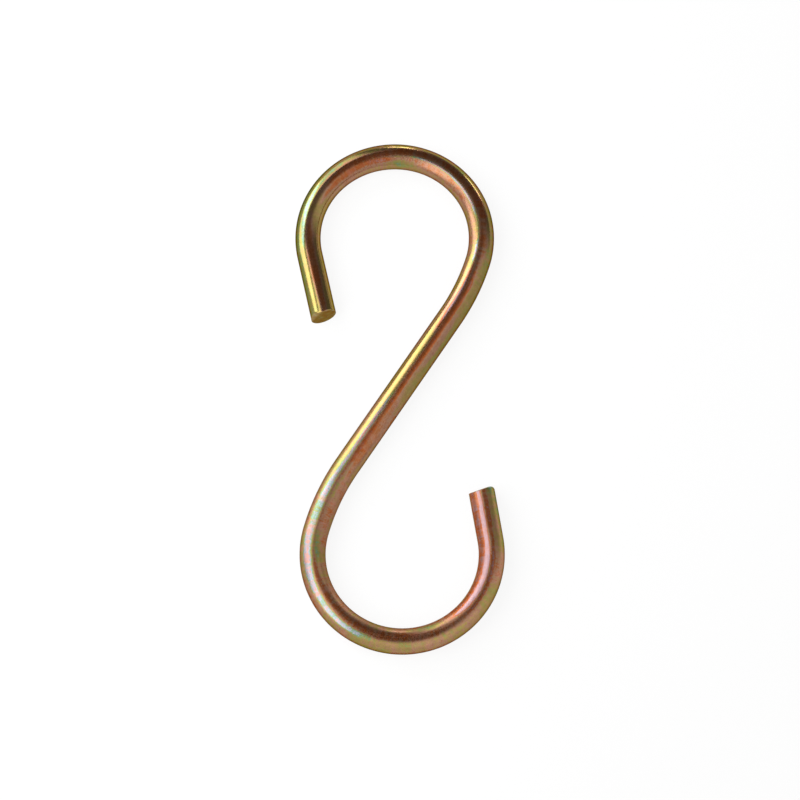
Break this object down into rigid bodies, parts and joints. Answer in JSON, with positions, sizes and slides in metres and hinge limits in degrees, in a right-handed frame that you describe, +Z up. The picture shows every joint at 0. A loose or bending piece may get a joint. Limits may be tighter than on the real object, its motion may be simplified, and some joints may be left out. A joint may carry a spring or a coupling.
{
  "type": "s hook",
  "caption": "Open S-shaped hook bent from round steel wire with sheared ends, for hanging one thing from another.",
  "frame": {"origin": "middle of the outline of the hook lying flat, on the surface that it lies on", "axes": "+Y along the hook's long axis, towards the upper hook; +Z up from the surface, square to the plane of the S"},
  "size_m": [0.0404, 0.1026, 0.005],
  "materials": {
    "zinc_wire": "yellow iridescent zinc passivation, glossy, over drawn steel wire"
  },
  "bodies": {
    "root": {"s_hook": "zinc_wire"}
  },
  "joints": []
}
